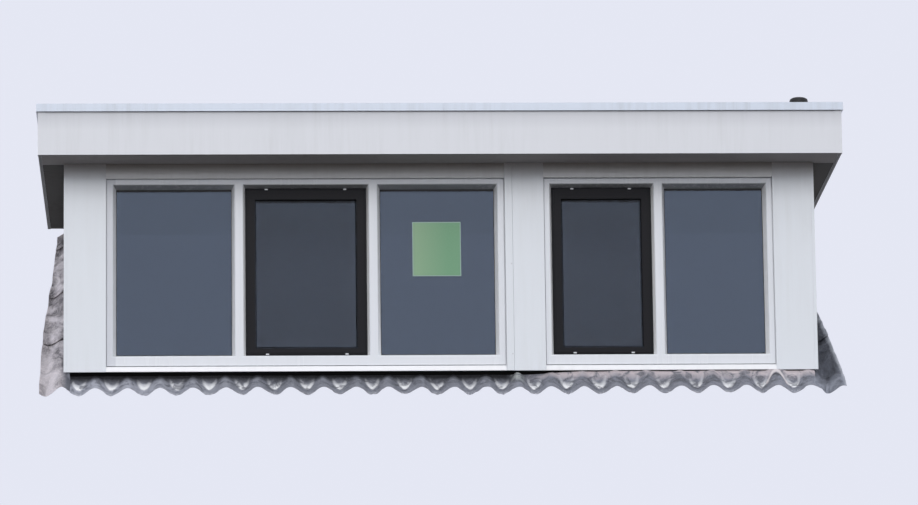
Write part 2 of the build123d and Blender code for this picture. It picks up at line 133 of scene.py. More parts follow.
def shader_group(name, inputs, outputs):
    """A node group with its named sockets, and its inlet and outlet nodes."""
    group = bpy.data.node_groups.new(name, "ShaderNodeTree")
    for label, kind in inputs.items():
        group.interface.new_socket(label, in_out="INPUT", socket_type="NodeSocket" + kind)
    for label, kind in outputs.items():
        group.interface.new_socket(label, in_out="OUTPUT", socket_type="NodeSocket" + kind)
    return group, group.nodes.new("NodeGroupInput"), group.nodes.new("NodeGroupOutput")


def placed(tree, group, values):
    """A shader group set into a material."""
    node = tree.nodes.new("ShaderNodeGroup")
    node.node_tree = group
    plug(tree, node, values)
    return node


def stretched(tree, vector, scale):
    """A vector with its own scale along each axis."""
    return add(tree, "Mapping", {"Vector": vector, "Scale": scale}).outputs[0]


def coordinates(tree, scale=(1, 1, 1), turn=(0, 0, 0)):
    """The place on the object in metres, turned and then scaled."""
    place = add(tree, "TexCoord", {}).outputs["Object"]
    turned = add(tree, "Mapping", {"Vector": place, "Rotation": turn}).outputs[0]
    return stretched(tree, turned, scale)


def dress(names, material):
    """Gives CAD nodes their material."""
    for name in names:
        data = frame["nodes"][name].data
        data.materials.clear()
        data.materials.append(material)


def ease(names, width=0.0015):
    """Rounds the sharp edges of CAD nodes a little."""
    for name in names:
        piece = frame["nodes"][name]
        weld = piece.modifiers.new("weld", "WELD")
        weld.merge_threshold = 0.00002
        bevel = piece.modifiers.new("eased edges", "BEVEL")
        bevel.width = width
        bevel.segments = 2
        bevel.limit_method = "ANGLE"
        bevel.angle_limit = math.radians(40)
        bevel.harden_normals = True


wood_grain, inlet, outlet = shader_group(
    "wood grain",
    {"Vector": "Vector", "Pale": "Color", "Dark": "Color"},
    {"Color": "Color", "Roughness": "Float", "Height": "Float"},
)
long_way = stretched(wood_grain, inlet.outputs["Vector"], (9, 9, 0.7))
drift = add(wood_grain, "TexNoise", {"Vector": long_way, "Scale": 1.0, "Detail": 2.0})
rings = add(
    wood_grain,
    "TexWave",
    {"Vector": drift.outputs["Color"], "Scale": 5.5, "Distortion": 2.0, "Detail": 2.0},
    wave_type="RINGS",
)
fibre_way = stretched(wood_grain, inlet.outputs["Vector"], (900, 900, 14))
fibres = add(wood_grain, "TexNoise", {"Vector": fibre_way, "Scale": 1.0, "Detail": 4.0})
knot_way = stretched(wood_grain, inlet.outputs["Vector"], (9, 9, 2.2))
knots = add(wood_grain, "TexVoronoi", {"Vector": knot_way, "Scale": 1.0})
knot = ranged(wood_grain, knots.outputs["Distance"], 0.05, 0.13, 1.0, 0.0)
ringed = mixed(wood_grain, rings.outputs["Fac"], inlet.outputs["Pale"], inlet.outputs["Dark"])
fibre_share = ranged(wood_grain, fibres.outputs["Fac"], 0.35, 0.7, 0.0, 0.35)
fibred = mixed(wood_grain, fibre_share, ringed, inlet.outputs["Dark"])
knotted = mixed(wood_grain, knot, fibred, (0.16, 0.075, 0.03, 1))
plug(
    wood_grain,
    outlet,
    {
        "Color": knotted,
        "Roughness": ranged(wood_grain, fibres.outputs["Fac"], 0.2, 0.8, 0.55, 0.8),
        "Height": fibres.outputs["Fac"],
    },
)

grain_along_x = (0, math.radians(90), 0)
grain_along_y = (math.radians(90), 0, 0)
grain_along_z = (0, 0, 0)


def softwood(name, turn):
    """Planed softwood whose grain is turned to run along the member."""
    material, tree, shader = surface(name)
    pale, dark = (0.62, 0.42, 0.22, 1), (0.44, 0.25, 0.11, 1)
    grain = placed(tree, wood_grain, {"Vector": coordinates(tree, turn=turn), "Pale": pale, "Dark": dark})
    bump = add(tree, "Bump", {"Height": grain.outputs["Height"], "Strength": 0.35, "Distance": 0.0006})
    plug(
        tree,
        shader,
        {
            "Base Color": grain.outputs["Color"],
            "Roughness": grain.outputs["Roughness"],
            "Normal": bump.outputs[0],
        },
    )
    return material


beam_wood = softwood("softwood beams", grain_along_x)
post_wood = softwood("softwood posts", grain_along_z)
joist_wood = softwood("softwood joists", grain_along_y)
dress(["sole_beam", "head_beam"], beam_wood)
dress(["left_post", "middle_post", "right_post", "left_cheek_frame", "right_cheek_frame"], post_wood)
dress(["roof_joists", "roof_kerb"], joist_wood)
ease(["sole_beam", "head_beam", "left_post", "middle_post", "right_post"])

# Inner lining and ceiling: painted boards, screwed to the studs and joists.
# The joints and screw heads are filled, and the paint has the stipple of a roller.


def flecks(tree, scale, detail=2.0, place=None):
    """Noise over the surface, at a place vector where one is given."""
    place = place or coordinates(tree)
    return add(tree, "TexNoise", {"Vector": place, "Scale": scale, "Detail": detail}).outputs["Fac"]


lining_paint, tree, shader = surface("painted lining board")
stipple = flecks(tree, 420.0, 3.0)
broad = flecks(tree, 3.0, 3.0)
tone = mixed(tree, ranged(tree, broad, 0.3, 0.7, 0, 1), (0.76, 0.75, 0.72, 1), (0.7, 0.69, 0.66, 1))
filled = add(tree, "TexVoronoi", {"Vector": coordinates(tree, scale=(3.3, 3.3, 3.3)), "Randomness": 0.0})
spot = ranged(tree, filled.outputs["Distance"], 0.02, 0.035, 0.35, 0.0)
bump = add(tree, "Bump", {"Height": stipple, "Strength": 0.25, "Distance": 0.0005})
plug(
    tree,
    shader,
    {
        "Base Color": mixed(tree, spot, tone, (0.6, 0.59, 0.56, 1)),
        "Roughness": ranged(tree, broad, 0.3, 0.7, 0.5, 0.62),
        "Normal": bump.outputs[0],
    },
)
dress(["left_cheek_lining", "right_cheek_lining", "ceiling_panel"], lining_paint)

# Cheek cladding: white plastic boards, tongued and grooved and laid level on battens.
# Each board has an eased edge, so a shadow line shows between one and the next.

board_cover = 0.15
board_gap = 0.003
board_easing = 0.004
backing_share = 0.5
backing_easing = 0.001


def clipped(outline, level, keep_above):
    """The part of a closed outline above or below a level of its second coordinate."""
    kept = []
    for index, point in enumerate(outline):
        last = outline[index - 1]
        inside = (point[1] >= level) == keep_above
        last_inside = (last[1] >= level) == keep_above
        if inside != last_inside:
            share = (level - last[1]) / (point[1] - last[1])
            kept.append((last[0] + share * (point[0] - last[0]), level))
        if inside:
            kept.append(point)
    return kept


def piece(name, mesh, material, smooth=False):
    """A finished mesh as a piece of the object, riding on its one body."""
    data = bpy.data.meshes.new(name)
    bmesh.ops.recalc_face_normals(mesh, faces=mesh.faces)
    for face in mesh.faces:
        face.smooth = smooth
    mesh.to_mesh(data)
    mesh.free()
    data.materials.append(material)
    made = bpy.data.objects.new(name, data)
    bpy.context.scene.collection.objects.link(made)
    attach(made, body)
    return made


def board(mesh, outline, place, depth, easing):
    """A flat board from an outline: place turns (across, up, out) into X, Y and Z."""
    rim = [Vector(point) for point in outline]
    middle = sum(rim, Vector((0, 0))) / len(rim)
    inner = []
    for point in rim:
        away = point - middle
        inner.append(point - Vector((math.copysign(easing, away.x), math.copysign(easing, away.y))))
    levels = [(rim, 0.0), (rim, depth - easing), (inner, depth)]
    loops = [[mesh.verts.new(place(p.x, p.y, out)) for p in ring] for ring, out in levels]
    for low, high in zip(loops, loops[1:]):
        for index in range(len(rim)):
            mesh.faces.new((low[index - 1], low[index], high[index], high[index - 1]))
    mesh.faces.new(loops[-1])
    mesh.faces.new(list(reversed(loops[0])))


def maths(tree, operation, *values):
    """The result of a maths node."""
    return add(tree, "Math", dict(enumerate(values)), operation=operation).outputs[0]


def product(tree, first, *others):
    """Values multiplied together."""
    for other in others:
        first = maths(tree, "MULTIPLY", first, other)
    return first


rain_dust, inlet, outlet = shader_group("rain dust", {"Vector": "Vector"}, {"Mask": "Float"})
run_way = stretched(rain_dust, inlet.outputs["Vector"], (26, 26, 1.6))
runs = add(rain_dust, "TexNoise", {"Vector": run_way, "Scale": 1.0, "Detail": 5.0, "Roughness": 0.6})
patch = ranged(rain_dust, flecks(rain_dust, 2.1, 3.0, inlet.outputs["Vector"]), 0.35, 0.7, 0.0, 1.0)
run = ranged(rain_dust, runs.outputs["Fac"], 0.42, 0.75, 0.0, 1.0)
plug(rain_dust, outlet, {"Mask": product(rain_dust, patch, run)})

fine_skin, inlet, outlet = shader_group(
    "fine skin", {"Vector": "Vector", "Scale": "Float"}, {"Height": "Float"}
)
skin = add(
    fine_skin, "TexNoise", {"Vector": inlet.outputs["Vector"], "Scale": inlet.outputs["Scale"], "Detail": 2.0}
)
plug(fine_skin, outlet, {"Height": skin.outputs["Fac"]})


def white_board(name, clean, dusty, gloss, dust=0.5, bumpiness=0.12, shine=0.5):
    """A white factory finish: a fine skin, and a little dust where rain runs down."""
    material, tree, shader = surface(name)
    place = coordinates(tree)
    dust_mask = placed(tree, rain_dust, {"Vector": place}).outputs["Mask"]
    height = placed(tree, fine_skin, {"Vector": place, "Scale": 700.0}).outputs["Height"]
    share = product(tree, dust_mask, dust)
    bump = add(tree, "Bump", {"Height": height, "Strength": bumpiness, "Distance": 0.0003})
    plug(
        tree,
        shader,
        {
            "Base Color": mixed(tree, share, (*clean, 1), (*dusty, 1)),
            "Roughness": ranged(tree, dust_mask, 0.0, 1.0, gloss, gloss + 0.2),
            "Specular IOR Level": shine,
            "Normal": bump.outputs[0],
        },
    )
    return material


cheek_white = white_board("white cheek boards", (0.74, 0.76, 0.79), (0.55, 0.54, 0.5), 0.32)

for side, name in ((-1, "left_cheek_cladding"), (1, "right_cheek_cladding")):
    low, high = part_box(name)
    inner, outer = (high.x, low.x) if side < 0 else (low.x, high.x)

    def outward(across, up, out):
        """A place on this cheek, with out counted from its inner face."""
        return inner + side * out, across, up

    mesh = bmesh.new()
    outline = [(low.y, low.z), (low.y, high.z), (high.y, high.z)]
    level = low.z
    while level < high.z:
        strip = clipped(clipped(outline, level + board_gap, True), level + board_cover, False)
        if len(strip) > 2:
            board(mesh, strip, outward, abs(outer - inner), board_easing)
        level += board_cover
    board(mesh, outline, outward, abs(outer - inner) * backing_share, backing_easing)
    boards = piece(name + "_boards", mesh, cheek_white)
    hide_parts(name)

# Roof deck and membrane: strand board under a black rubber sheet. The sheet is laid
# in widths, lapped and glued, and turned up inside the kerb under the edge trim.

strand_board, tree, shader = surface("strand board")
strands = add(tree, "TexVoronoi", {"Vector": coordinates(tree, scale=(25, 70, 70)), "Scale": 1.0})
tone = mixed(tree, strands.outputs["Color"], (0.55, 0.37, 0.19, 1), (0.36, 0.22, 0.1, 1))
bump = add(tree, "Bump", {"Height": strands.outputs["Distance"], "Strength": 0.4, "Distance": 0.001})
plug(tree, shader, {"Base Color": tone, "Roughness": 0.75, "Normal": bump.outputs[0]})
dress(["roof_deck"], strand_board)

rubber_sheet, tree, shader = surface("black roofing sheet")
place = coordinates(tree)
pools = add(tree, "TexNoise", {"Vector": place, "Scale": 1.7, "Detail": 6.0, "Distortion": 0.6})
pool = ranged(tree, pools.outputs["Fac"], 0.36, 0.7, 0.0, 1.0)
grit = flecks(tree, 260.0, 4.0, place)
tone = mixed(tree, pool, (0.045, 0.046, 0.048, 1), (0.082, 0.081, 0.078, 1))
tone = mixed(tree, ranged(tree, grit, 0.55, 0.8, 0.0, 0.5), tone, (0.2, 0.2, 0.19, 1))
bump = add(tree, "Bump", {"Height": grit, "Strength": 0.3, "Distance": 0.001})
plug(
    tree,
    shader,
    {"Base Color": tone, "Roughness": ranged(tree, pool, 0, 1, 0.5, 0.85), "Normal": bump.outputs[0]},
)
dress(["roof_membrane"], rubber_sheet)

# Roof edge trim: a white coated aluminium extrusion in three runs, mitred at the
# corners, with a cover piece behind the joint in the long front run.

trim_white, tree, shader = surface("white coated aluminium")
place = coordinates(tree)
dust_mask = placed(tree, rain_dust, {"Vector": place}).outputs["Mask"]
height = placed(tree, fine_skin, {"Vector": place, "Scale": 1100.0}).outputs["Height"]
bump = add(tree, "Bump", {"Height": height, "Strength": 0.1, "Distance": 0.0002})
plug(
    tree,
    shader,
    {
        "Base Color": mixed(tree, dust_mask, (0.67, 0.73, 0.83, 1), (0.56, 0.6, 0.66, 1)),
        "Roughness": ranged(tree, dust_mask, 0, 1, 0.28, 0.5),
        "Normal": bump.outputs[0],
    },
)
dress(["edge_trim_front", "edge_trim_left", "edge_trim_right"], trim_white)

# Soffits and fascias: white boards nailed to the joist ends and undersides. The front
# soffit is painted grey as the eaves' shade, and the side soffits near black as deeper
# painted shade.

fascia_white = white_board(
    "white fascia board", (0.745, 0.755, 0.79), (0.6, 0.61, 0.62), 0.5, dust=0.4, shine=0.12
)
# Painted shade: both soffits are white boards, coloured grey and near black for the shade they stand in.
soffit_white = white_board("soffit board", (0.36, 0.34, 0.335), (0.3, 0.28, 0.27), 0.65, shine=0.15)
shaded_side_soffit = white_board("side soffit board", (0.09, 0.085, 0.08), (0.07, 0.065, 0.06), 0.7, shine=0.1)


def ordinate(tree, axis):
    """One coordinate of the place on the object, in metres."""
    return add(tree, "SeparateXYZ", {"Vector": coordinates(tree)}).outputs[axis]


def facing(tree, axis):
    """How far the surface faces along an axis, from -1 to 1."""
    normal = add(tree, "NewGeometry", {}).outputs["Normal"]
    return add(tree, "SeparateXYZ", {"Vector": normal}).outputs[axis]


def tinted(material, mask, tint, blend="MULTIPLY"):
    """Blends a tint into a material's colour where a mask in its node tree is 1."""
    tree = material.node_tree
    colour = tree.nodes["Principled BSDF"].inputs["Base Color"]
    clean = colour.links[0].from_socket
    tree.links.new(mixed(tree, mask, clean, (*tint, 1), blend), colour)


def shaded_towards_top(material, start, end, tint):
    """Painted shade under the eaves and trims: the colour darkens towards the top, with the height."""
    tree = material.node_tree
    tinted(material, ranged(tree, ordinate(tree, "Z"), start, end, 0.0, 1.0), tint)


def shaded_facing_down(material, tint):
    """Painted shade on the faces that look down: drip edges and the undersides of reveals."""
    tree = material.node_tree
    tinted(material, ranged(tree, facing(tree, "Z"), -0.95, -0.6, 1.0, 0.0), tint)


# Painted shade: the fascia darkens towards the top under the trim, and on its faces that look down.
shaded_towards_top(fascia_white, 1.57, 1.69, (0.82, 0.82, 0.83))
shaded_facing_down(fascia_white, (0.3, 0.29, 0.28))
dress(["fascia_front", "fascia_left", "fascia_right", "fascia_corners"], fascia_white)
dress(["soffit_front"], soffit_white)
dress(["soffit_left", "soffit_right"], shaded_side_soffit)
ease(["fascia_front", "fascia_left", "fascia_right"], 0.002)

# Front panels: smooth white sheet material, fixed over the posts and round the windows.
# The head panels sit back under the eaves, and a sloped sill strip sheds rain below.

panel_white = white_board("white front panel", (0.78, 0.81, 0.85), (0.62, 0.63, 0.63), 0.3, dust=0.35)
head_white = white_board("recessed head panel", (0.9, 0.9, 0.9), (0.7, 0.69, 0.66), 0.4, dust=0.35)
sill_white = white_board("sill strip", (0.86, 0.865, 0.885), (0.68, 0.69, 0.69), 0.3, dust=0.25)
# Painted shade: the panels darken warmly towards the top under the soffit. The recessed head panels have a
# lighter base as painted light, and darken much more towards the top as painted shade.
shaded_towards_top(panel_white, 1.3, 1.41, (0.95, 0.88, 0.82))
shaded_towards_top(head_white, 1.338, 1.41, (0.51, 0.46, 0.42))
panels = ["left_corner_panel", "cover_strip", "middle_leg_panel", "right_corner_panel", "corner_trims"]
dress(panels, panel_white)
dress(["left_head_panel", "right_head_panel"], head_white)
dress(["left_sill_strip", "right_sill_strip"], sill_white)
ease(panels + ["left_head_panel", "right_head_panel", "left_sill_strip", "right_sill_strip"])

# Window frames, beads and sashes: white plastic profiles, mitred and welded. The left
# jamb is darkened with painted shade of the corner panel, the reveals' side faces are
# mixed to near white as painted light, and faces that look down carry painted shade.

jamb_edge = -2.064
profile_white = white_board(
    "white window profile", (0.8, 0.82, 0.86), (0.6, 0.61, 0.61), 0.22, dust=0.3, bumpiness=0.04
)
tree = profile_white.node_tree
# Painted shade: the left jamb is tinted darker.
left_jamb_shade = ranged(tree, ordinate(tree, "X"), jamb_edge - 0.004, jamb_edge + 0.004, 1, 0)
tinted(profile_white, left_jamb_shade, (0.85, 0.85, 0.865))
# Painted light: faces that look sideways are mixed to near white.
lit_side_faces = ranged(tree, maths(tree, "ABSOLUTE", facing(tree, "X")), 0.7, 0.95, 0, 1)
tinted(profile_white, lit_side_faces, (0.98, 0.98, 0.98), "MIX")
# Painted shade on the faces that look down.
shaded_facing_down(profile_white, (0.58, 0.57, 0.56))
profiles = ["left_window_frame", "right_window_frame", "left_glazing_beads", "right_glazing_beads"]
dress(profiles + ["left_sash", "right_sash"], profile_white)
ease(["left_window_frame", "right_window_frame", "left_sash", "right_sash"])

# Glass: sealed double glazing. Two panes stand apart on a grey spacer bar, with a black
# seal round the edge. The inner pane is tinted near black as painted shade of the room.

pane_thickness = 0.004
pane_arris = 0.0008
spacer_inset = 0.004
spacer_width = 0.008


def glass_material(name, tint, ior):
    """Clear or tinted glass that reflects the sky a little blue."""
    material, tree, shader = surface(name)
    values = {"Base Color": tint, "Roughness": 0.0, "IOR": ior, "Transmission Weight": 1.0}
    plug(tree, shader, {**values, "Specular Tint": (0.72, 0.84, 1.0, 1)})
    return material


outer_glass = glass_material("outer glass", (0.72, 0.76, 0.82, 1), 1.76)
# Painted shade: the inner pane is tinted near black so that the room behind stays dark.
inner_glass_painted_shade = glass_material("tinted inner glass", (0.012, 0.014, 0.02, 1), 1.6)


def speckled(name, scale, first, second, gloss, detail=2.0, stretch=(1, 1, 1), relief=None, **more):
    """A plain finish: tone, relief and gloss, where gloss is a range, follow fine flecks."""
    material, tree, shader = surface(name)
    fleck = flecks(tree, scale, detail, coordinates(tree, stretch))
    tone = mixed(tree, fleck, (*first, 1), (*second, 1))
    if isinstance(gloss, tuple):
        gloss = ranged(tree, fleck, 0.3, 0.7, *gloss)
    if relief:
        strength, distance = relief
        bump = add(tree, "Bump", {"Height": fleck, "Strength": strength, "Distance": distance})
        more["Normal"] = bump.outputs[0]
    plug(tree, shader, {"Base Color": tone, "Roughness": gloss, **more})
    return material


spacer_grey = speckled(
    "spacer bar", 1.0, (0.12, 0.12, 0.13), (0.2, 0.2, 0.21), 0.45, stretch=(900, 900, 900), Metallic=0.8
)


def ring_of_bars(mesh, low, high, width):
    """A square cut ring of four bars in the XZ plane, from low.y to high.y."""
    outer = [(low.x, low.z), (high.x, low.z), (high.x, high.z), (low.x, high.z)]
    inner = [
        (low.x + width, low.z + width),
        (high.x - width, low.z + width),
        (high.x - width, high.z - width),
        (low.x + width, high.z - width),
    ]
    rings = [[mesh.verts.new((x, y, z)) for x, z in loop] for loop in (outer, inner) for y in (low.y, high.y)]
    front_out, back_out, front_in, back_in = rings
    for a in range(4):
        b = (a + 1) % 4
        mesh.faces.new((front_out[a], front_out[b], front_in[b], front_in[a]))
        mesh.faces.new((back_out[b], back_out[a], back_in[a], back_in[b]))
        mesh.faces.new((front_out[b], front_out[a], back_out[a], back_out[b]))
        mesh.faces.new((front_in[a], front_in[b], back_in[b], back_in[a]))


def block(mesh, low, high, easing=0.0, steps=2):
    """A box between two corners, with eased edges."""
    made = bmesh.ops.create_cube(mesh, size=1.0)
    middle, size = (low + high) / 2, high - low
    for vertex in made["verts"]:
        vertex.co = Vector(m + v * s for m, v, s in zip(middle, vertex.co, size))
    if easing:
        edges = list(dict.fromkeys(edge for vertex in made["verts"] for edge in vertex.link_edges))
        bmesh.ops.bevel(mesh, geom=edges, offset=easing, segments=steps, affect="EDGES")


for name in ("first_glass", "second_glass", "third_glass", "fourth_glass", "fifth_glass"):
    low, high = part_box(name)
    mesh = bmesh.new()
    block(mesh, low, Vector((high.x, low.y + pane_thickness, high.z)), pane_arris, 1)
    outer_pane = piece(name + "_outer_pane", mesh, outer_glass)
    mesh = bmesh.new()
    block(mesh, Vector((low.x, high.y - pane_thickness, low.z)), high, pane_arris, 1)
    inner_pane = piece(name + "_inner_pane", mesh, inner_glass_painted_shade)
    mesh = bmesh.new()
    inset = Vector((spacer_inset, 0, spacer_inset))
    front = Vector((low.x, low.y + pane_thickness, low.z)) + inset
    back = Vector((high.x, high.y - pane_thickness, high.z)) - inset
    ring_of_bars(mesh, front, back, spacer_width)
    spacer = piece(name + "_spacer", mesh, spacer_grey)
    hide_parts(name)

# Insect screens: black coated aluminium frames with a stretched black gauze. They
# stand in the reveals before the two opening lights. The gauze has crossing threads.

screen_black, tree, shader = surface("black coated aluminium")
height = placed(tree, fine_skin, {"Vector": coordinates(tree), "Scale": 900.0}).outputs["Height"]
bump = add(tree, "Bump", {"Height": height, "Strength": 0.15, "Distance": 0.0003})
tone = mixed(tree, height, (0.0055, 0.0055, 0.007, 1), (0.0125, 0.0125, 0.016, 1))
plug(
    tree,
    shader,
    {"Base Color": tone, "Roughness": 0.42, "Specular IOR Level": 0.16, "Normal": bump.outputs[0]},
)
dress(["left_screen_frame", "right_screen_frame"], screen_black)

gauze_thread = speckled("gauze thread", 800.0, (0.02, 0.02, 0.022), (0.04, 0.04, 0.043), 0.6, detail=1.0)

thread_pitch = 0.002
thread_width = 0.0003


def thread(mesh, corner, far):
    """A straight thread of the gauze, square in section."""
    corners = [(corner.x, corner.z), (far.x, corner.z), (far.x, far.z), (corner.x, far.z)]
    rings = [[mesh.verts.new((x, y, z)) for x, z in corners] for y in (corner.y, far.y)]
    mesh.faces.new(rings[0])
    mesh.faces.new(list(reversed(rings[1])))
    for index in range(4):
        mesh.faces.new((rings[0][index - 1], rings[1][index - 1], rings[1][index], rings[0][index]))


for name in ("left_screen_mesh", "right_screen_mesh"):
    low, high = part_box(name)
    mesh = bmesh.new()
    middle, back = low.y + thread_width, low.y + 2 * thread_width
    across = low.x
    while across < high.x:
        thread(mesh, Vector((across, low.y, low.z)), Vector((across + thread_width, middle, high.z)))
        across += thread_pitch
    up = low.z
    while up < high.z:
        thread(mesh, Vector((low.x, middle, up)), Vector((high.x, back, up + thread_width)))
        up += thread_pitch
    gauze = piece(name + "_threads", mesh, gauze_thread)
    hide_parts(name)

# Lead flashings: sheet lead in lengths, lapped, and beaten down over the tile waves.
# It comes out level from under the panels, drops into each valley and ends in a hem.
# Beating leaves creases and varies the gloss. The bends carry painted highlights and the
# flat parts painted shade.

wave_pitch = 0.2054
valley_place = -0.034
wave_height = 0.05
sheet_thickness = 0.0022
box_margin = 0.0015
wrinkle_height = 0.0045
solid_thickness = 0.003
roof_slope = math.tan(math.radians(35))
apron_low, apron_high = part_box("lead_apron")
apron_wall = apron_high.y - solid_thickness
apron_depth = apron_wall - apron_low.y
apron_crest = apron_low.z + solid_thickness + wave_height + apron_depth * roof_slope
hump_middle = 0.478
arch_middle = 2.122
noise.seed_set(5)  # noise_vector takes its offsets from the clock when no seed is set


def smooth_step(value, low, high):
    """0 below low, 1 above high and a smooth rise between them."""
    share = min(max((value - low) / (high - low), 0), 1)
    return share * share * (3 - 2 * share)


def valley_share(x):
    """1 in the middle of a tile valley and 0 on a crest."""
    return 0.5 + 0.5 * math.cos(2 * math.pi * (x - valley_place) / wave_pitch)


def creases(x, y, size, seed):
    """Folded wrinkles between -1 and 1: noise turned over at its zero line."""
    spot = Vector((x / size + seed, y / size, seed))
    bent = spot + 0.6 * noise.noise_vector(spot * 0.5)
    return 1 - 2 * abs(noise.noise(bent)) - 0.5 * abs(noise.noise(bent * 2.1))


def valley_drop(x, out):
    """How far the lead has gone down into the wave, at a distance out from the wall."""
    bottom = wave_height * valley_share(x + 0.012 * noise.noise(Vector((x * 9, out * 6, 1))))
    reach = 0.09 + 0.03 * noise.noise(Vector((x * 2.7, 8.5, 0)))
    ramp = wave_height * out / reach
    blend = min(max(0.5 + 0.5 * (ramp - bottom) / 0.008, 0), 1)
    return max(ramp + blend * (bottom - ramp) - 0.008 * blend * (1 - blend), 0)


lead_skin, inlet, outlet = shader_group(
    "lead skin",
    {"Vector": "Vector", "Scale": "Float"},
    {"Folds": "Float", "Streaks": "Float", "Height": "Float"},
)
place, scale = inlet.outputs["Vector"], inlet.outputs["Scale"]
beaten = add(lead_skin, "TexNoise", {"Vector": place, "Scale": scale, "Detail": 6.0, "Distortion": 1.6})
closer = product(lead_skin, scale, 2.3)
ridges = add(lead_skin, "TexNoise", {"Vector": place, "Scale": closer, "Detail": 4.0, "Distortion": 2.4})
off_ridge = maths(lead_skin, "ABSOLUTE", maths(lead_skin, "SUBTRACT", ridges.outputs["Fac"], 0.5))
streaks = ranged(lead_skin, off_ridge, 0.0, 0.06, 1.0, 0.0)
folds = ranged(lead_skin, beaten.outputs["Fac"], 0.36, 0.62, 0.0, 1.0)
height = maths(lead_skin, "ADD", streaks, folds)
plug(lead_skin, outlet, {"Folds": folds, "Streaks": streaks, "Height": height})


def finish_lead(tree, shader, skin, tone, bumpiness):
    """The gloss and relief that all the lead shares, with a tone of its own."""
    bump = add(tree, "Bump", {"Height": skin.outputs["Height"], "Strength": bumpiness, "Distance": 0.004})
    gloss = ranged(tree, skin.outputs["Folds"], 0, 1, 0.55, 0.36)
    plug(tree, shader, {"Base Color": tone, "Metallic": 0.4, "Roughness": gloss, "Normal": bump.outputs[0]})


apron_lead, tree, shader = surface("lead over the tiles")
place = coordinates(tree)
skin = placed(tree, lead_skin, {"Vector": place, "Scale": 12.0})
folds, streaks = skin.outputs["Folds"], skin.outputs["Streaks"]
apart = add(tree, "SeparateXYZ", {"Vector": place})
along = apart.outputs["X"]
turned = product(tree, maths(tree, "SUBTRACT", along, valley_place), 2 * math.pi / wave_pitch)
wave = ranged(tree, maths(tree, "COSINE", turned), -1, 1, 0, 1)
spots = ranged(tree, folds, 0.15, 0.6, 0.2, 1.0)

# The masks go by metres out from the wall. The foot of each drop carries a painted
# highlight, the hem a paler band with a painted highlight in the valleys, and the lead
# under the panels painted shade on the left. On the right it is paler and pinkish near
# the wall, and out on the left paler in patches.
out = maths(tree, "SUBTRACT", apron_wall, apart.outputs["Y"])
off = maths(tree, "SUBTRACT", out, product(tree, wave, 0.092))
foot = product(tree, ranged(tree, off, 0.004, 0.014, 1, 0), ranged(tree, off, -0.034, -0.006, 0, 1))
glint = product(tree, foot, spots, ranged(tree, wave, 0.55, 0.95, 0, 1))
hem = ranged(tree, out, 0.112, 0.128, 0.0, 0.8)
lip = product(tree, ranged(tree, out, 0.13, 0.142, 0, 0.8), ranged(tree, wave, 0.6, 0.95, 0, 1), streaks)
left_share = ranged(tree, along, 0.4, 0.6, 1.0, 0.0)
painted_shade_near_wall = product(tree, ranged(tree, out, 0.022, 0.066, 0.96, 0.0), left_share)
right_share = ranged(tree, along, 0.5, 0.75, 0.0, 1.0)
pale_band_on_right = product(tree, ranged(tree, out, 0.028, 0.05, 1.0, 0.0), right_share, spots)
paler_out_on_left = product(tree, ranged(tree, along, -1.9, -1.1, 0.85, 0.0), ranged(tree, out, 0.05, 0.09, 0, 1), spots)
tone = mixed(tree, folds, (0.12, 0.125, 0.147, 1), (0.25, 0.26, 0.305, 1))
tone = mixed(tree, hem, tone, (0.28, 0.29, 0.335, 1))
tone = mixed(tree, paler_out_on_left, tone, (0.46, 0.47, 0.53, 1))
tone = mixed(tree, pale_band_on_right, tone, (0.58, 0.51, 0.52, 1))
tone = mixed(tree, product(tree, streaks, 0.3), tone, (0.42, 0.43, 0.47, 1))
tone = mixed(tree, painted_shade_near_wall, tone, (0.004, 0.004, 0.005, 1))

# Two folds at given places: a hump on a crest with a painted highlight, and an arch with a
# painted highlight on its rim and a slit of painted shade.
from_hump = maths(tree, "ABSOLUTE", maths(tree, "SUBTRACT", along, hump_middle))
hump = product(tree, ranged(tree, from_hump, 0.02, 0.05, 0.9, 0), ranged(tree, out, 0.07, 0.11, 1, 0), spots)
tone = mixed(tree, hump, tone, (0.42, 0.44, 0.42, 1))
arch_half, arch_tall, arch_foot = 0.068, 0.05, 0.085
arch_spot = (-arch_middle / arch_half, (arch_foot - apron_wall) / arch_tall, 0)
arch_scale = (1 / arch_half, 1 / arch_tall, 0)
arch = add(tree, "Mapping", {"Vector": place, "Location": arch_spot, "Scale": arch_scale}).outputs[0]
arch = add(tree, "VectorMath", {0: arch}, operation="LENGTH").outputs["Value"]
arch_rim_highlight = product(tree, ranged(tree, arch, 0.7, 0.85, 0, 1), ranged(tree, arch, 1.0, 1.15, 1, 0))
arch_rim_highlight = product(tree, arch_rim_highlight, ranged(tree, out, 0.08, 0.1, 1, 0))
slit_shade = product(tree, ranged(tree, arch, 0.5, 0.75, 1, 0), ranged(tree, out, 0.06, 0.075, 0.9, 0))
tone = mixed(tree, arch_rim_highlight, tone, (0.75, 0.7, 0.7, 1))
tone = mixed(tree, slit_shade, tone, (0.03, 0.028, 0.03, 1))
# Painted highlights at the foot of each drop and along the hem.
tone = mixed(tree, glint, tone, (1.0, 1.0, 1.0, 1))
tone = mixed(tree, lip, tone, (0.75, 0.76, 0.8, 1))
finish_lead(tree, shader, skin, tone, 0.5)

# Painted light on the crumpled lead: pale folds and near white streaks are painted highlights, dark folds
# painted shade, and the outer corner is darker.
left_side_lead, tree, shader = surface("crumpled lead on the left")
skin = placed(tree, lead_skin, {"Vector": coordinates(tree, scale=(1, 0.5, 0.5)), "Scale": 7.0})
tone = mixed(tree, skin.outputs["Folds"], (0.1, 0.09, 0.1, 1), (0.55, 0.51, 0.53, 1))
tone = mixed(tree, product(tree, skin.outputs["Streaks"], 0.3), tone, (0.95, 0.88, 0.86, 1))
corner = ranged(tree, ordinate(tree, "X"), -2.41, -2.37, 0, 1)
tone = mixed(tree, corner, tone, (0.14, 0.145, 0.17, 1))
finish_lead(tree, shader, skin, tone, 0.35)
